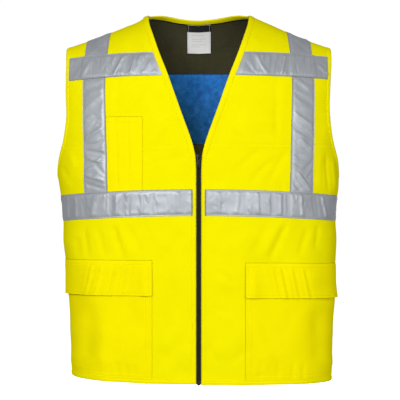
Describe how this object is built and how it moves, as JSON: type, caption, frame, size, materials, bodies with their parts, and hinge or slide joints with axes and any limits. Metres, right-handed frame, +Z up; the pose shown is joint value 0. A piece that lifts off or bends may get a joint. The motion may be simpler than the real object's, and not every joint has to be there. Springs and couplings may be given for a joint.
{
  "type": "cooling vest",
  "caption": "Sleeveless high-visibility cooling vest with reflective tape, a front zip, flap pockets, mesh lining and a cooling panel inside the back.",
  "frame": {"origin": "between the two points where the shoulder seams meet the neck, where the vest rests on the wearer", "axes": "+Z up, -Y the way the wearer faces, +X to the wearer's left"},
  "size_m": [0.5565, 0.2836, 0.7249],
  "materials": {
    "yellow_fabric": "fine matt polyester weave, fluorescent yellow",
    "yellow_binding": "folded binding tape, fluorescent yellow",
    "reflective_tape": "silver glass-bead tape with a soft sheen",
    "mesh": "fine open mesh, dark olive grey",
    "cooling_fabric": "blue knitted face with a sheen over a soaking layer",
    "zip_black": "black coil and woven tape",
    "zip_metal": "black lacquered zinc",
    "label": "white satin",
    "label_black": "black woven"
  },
  "bodies": {
    "vest": {"front_panel_right": "yellow_fabric", "front_panel_left": "yellow_fabric", "back_panel": "yellow_fabric", "neck_binding": "yellow_binding", "armhole_binding_right": "yellow_binding", "armhole_binding_left": "yellow_binding", "hem_binding": "yellow_binding", "waist_tape_right": "reflective_tape", "waist_tape_left": "reflective_tape", "waist_tape_back": "reflective_tape", "chest_tape_right": "reflective_tape", "chest_tape_left": "reflective_tape", "upper_back_tape": "reflective_tape", "shoulder_tape_right": "reflective_tape", "shoulder_tape_left": "reflective_tape", "lower_pocket_right": "yellow_fabric", "lower_pocket_left": "yellow_fabric", "pocket_flap_right": "yellow_fabric", "pocket_flap_left": "yellow_fabric", "pen_pocket": "yellow_fabric", "mesh_lining": "mesh", "cooling_panel": "cooling_fabric", "care_label": "label", "label_band": "label_black", "zip_tape_right": "zip_black", "zip_tape_left": "zip_black", "zip_chain": "zip_black", "zip_slider": "zip_metal", "zip_box": "zip_black"},
    "zip_pull": {"zip_pull": "zip_metal"}
  },
  "joints": [
    {"name": "pull_hinge", "type": "hinge", "parent": "vest", "child": "zip_pull", "pos_m": [0, -0.1478, -0.2829], "axis": [-1, 0, 0], "range_deg": [0, 165]}
  ]
}
